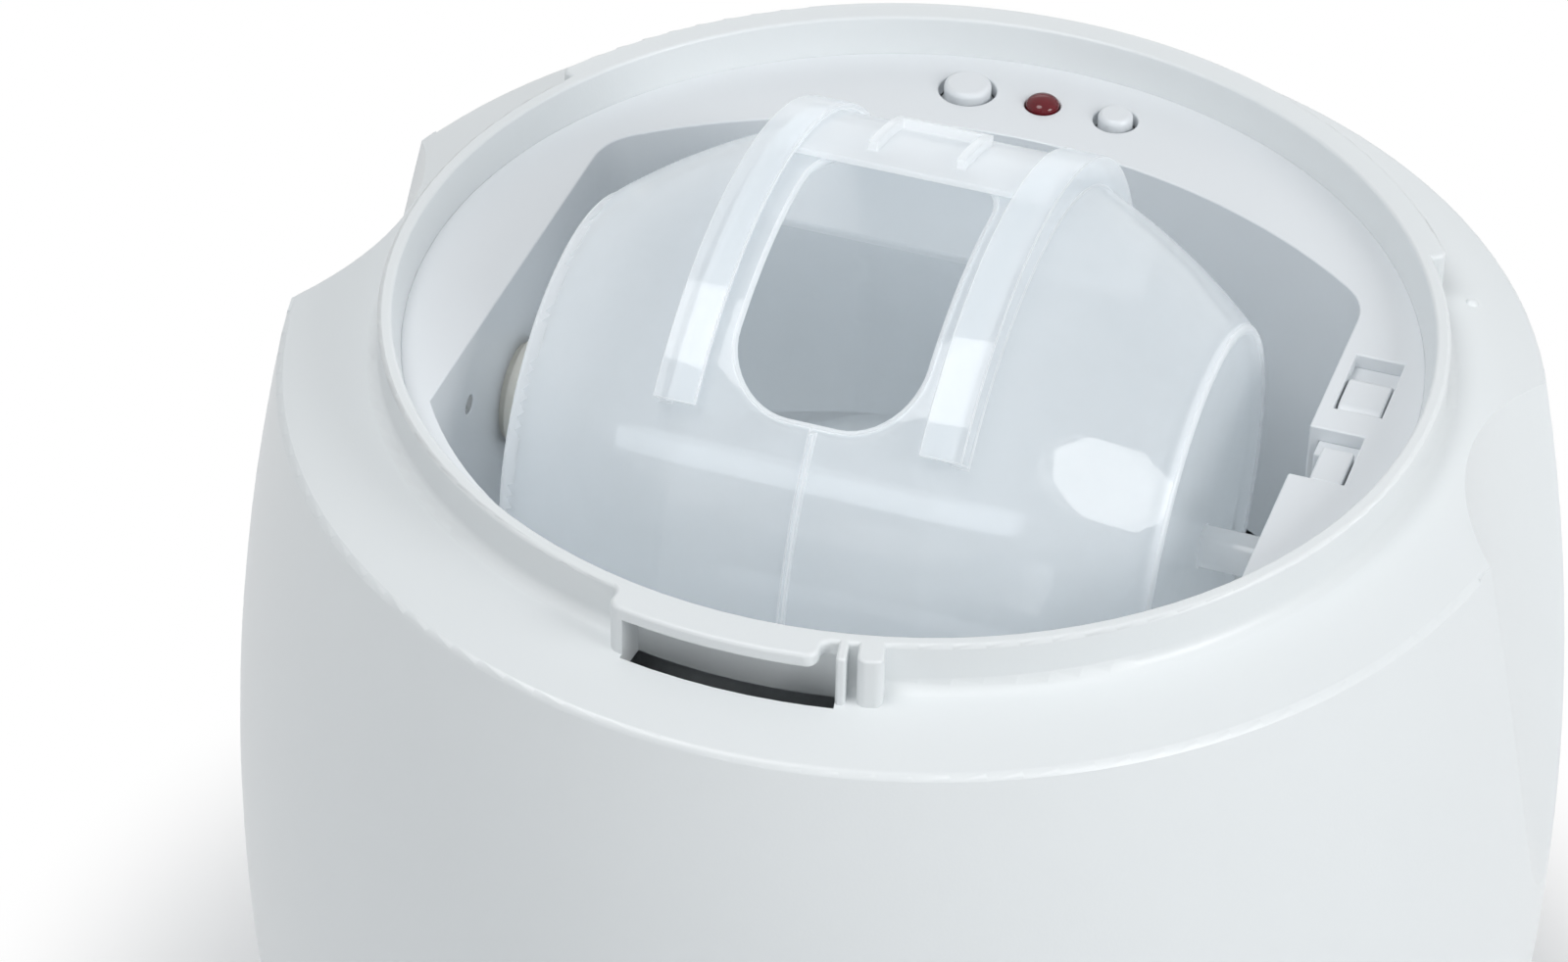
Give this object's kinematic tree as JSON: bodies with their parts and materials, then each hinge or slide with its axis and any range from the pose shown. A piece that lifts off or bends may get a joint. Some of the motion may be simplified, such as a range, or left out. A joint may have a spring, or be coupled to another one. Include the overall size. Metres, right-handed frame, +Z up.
{
  "type": "treat dispenser",
  "caption": "Barrel-shaped battery treat dispenser with open top, frosted dispensing drum with sliding door, button deck and front bowl",
  "frame": {"origin": "on the table under the centre of the barrel", "axes": "+Z up, front and bowl at -Y, drum axis along X"},
  "size_m": [0.1928, 0.2454, 0.1959],
  "materials": {
    "casing_white": "satin moulded, cool white",
    "deck_white": "satin moulded, cool white",
    "chute_white": "satin moulded, cool white",
    "drum_frosted": "frosted, translucent, faintly blue",
    "lamp_red": "clear red lens",
    "steel": "zinc plated",
    "motor_steel": "drawn can",
    "acetal_natural": "natural, unpainted",
    "gearbox_grey": "moulded",
    "switch_black": "moulded",
    "board_green": "solder mask",
    "foot_rubber": "matt",
    "cell_wrap": "printed wrap, plain"
  },
  "bodies": {
    "casing": {"outer_casing": "casing_white", "base_plate": "casing_white", "battery_door": "casing_white", "well_tub": "deck_white", "treat_funnel": "chute_white", "treat_chute": "chute_white", "status_lamp": "lamp_red", "well_screws": "steel", "arm_pin": "steel", "board_screws": "steel", "gear_pins": "steel", "gearbox_screws": "steel", "motor_screws": "steel", "base_screws": "steel", "battery_door_screw": "steel", "main_board_screws": "steel", "lamp_legs": "steel", "battery_contacts": "steel", "battery_springs": "steel", "motor": "motor_steel", "axle_bush": "acetal_natural", "drive_bush": "acetal_natural", "gearbox_plate": "gearbox_grey", "gearbox_cover": "gearbox_grey", "lid_switch": "switch_black", "tact_switches": "switch_black", "board_parts": "switch_black", "speaker": "switch_black", "button_board": "board_green", "main_board": "board_green", "rubber_feet": "foot_rubber", "batteries": "cell_wrap"},
    "drum": {"drum_left_half": "drum_frosted", "drum_right_half": "drum_frosted", "drum_hub": "drum_frosted", "agitator_fins": "drum_frosted", "drive_shaft": "acetal_natural", "output_gear": "acetal_natural"},
    "door": {"drum_door": "drum_frosted"},
    "power_key": {"power_button": "deck_white", "power_switch_stem": "switch_black"},
    "pairing_key": {"pairing_button": "deck_white", "pairing_switch_stem": "switch_black"},
    "lid_plunger": {"lid_switch_plunger": "deck_white", "lid_switch_stem": "switch_black"},
    "spring_arm": {"axle_spring_arm": "deck_white"},
    "upper_idler": {"upper_idler_gear": "acetal_natural"},
    "lower_idler": {"lower_idler_gear": "acetal_natural"},
    "pinion": {"motor_pinion": "acetal_natural", "motor_shaft": "steel"},
    "bowl": {"treat_bowl": "chute_white"}
  },
  "joints": [
    {"name": "drum_spin", "type": "hinge", "parent": "casing", "child": "drum", "pos_m": [0, -0.006, 0.146], "axis": [1, 0, 0], "continuous": true},
    {"name": "door_slide", "type": "hinge", "parent": "drum", "child": "door", "pos_m": [0, -0.006, 0.146], "axis": [1, 0, 0], "range_deg": [0, 51]},
    {"name": "power_press", "type": "slide", "parent": "casing", "child": "power_key", "axis": [0, 0, -1], "range_m": [0, 0.0008], "stiffness_N_per_m": 400, "springref_m": -0.0004},
    {"name": "pairing_press", "type": "slide", "parent": "casing", "child": "pairing_key", "axis": [0, 0, -1], "range_m": [0, 0.0008], "stiffness_N_per_m": 400, "springref_m": -0.0004},
    {"name": "lid_press", "type": "slide", "parent": "casing", "child": "lid_plunger", "axis": [0, 0, -1], "range_m": [0, 0.0015], "stiffness_N_per_m": 300, "springref_m": -0.00075},
    {"name": "arm_flex", "type": "hinge", "parent": "casing", "child": "spring_arm", "pos_m": [0.06205, -0.006, 0.1605], "axis": [0, 1, 0], "range_deg": [-9, 0], "stiffness_Nm_per_rad": 0.05, "springref_deg": 114.59},
    {"name": "upper_idler_spin", "type": "hinge", "parent": "casing", "child": "upper_idler", "pos_m": [0, -0.006, 0.1264], "axis": [1, 0, 0], "continuous": true},
    {"name": "lower_idler_spin", "type": "hinge", "parent": "casing", "child": "lower_idler", "pos_m": [0, -0.006, 0.1068], "axis": [1, 0, 0], "continuous": true},
    {"name": "motor_spin", "type": "hinge", "parent": "casing", "child": "pinion", "pos_m": [0, -0.006, 0.0872], "axis": [1, 0, 0], "continuous": true},
    {"name": "bowl_slide", "type": "slide", "parent": "casing", "child": "bowl", "axis": [0, -1, 0], "range_m": [0, 0.02]}
  ],
  "couplings": [
    {"joint": "upper_idler_spin", "follows": "drum_spin", "ratio": -3},
    {"joint": "lower_idler_spin", "follows": "drum_spin", "ratio": 9},
    {"joint": "motor_spin", "follows": "drum_spin", "ratio": -27}
  ]
}
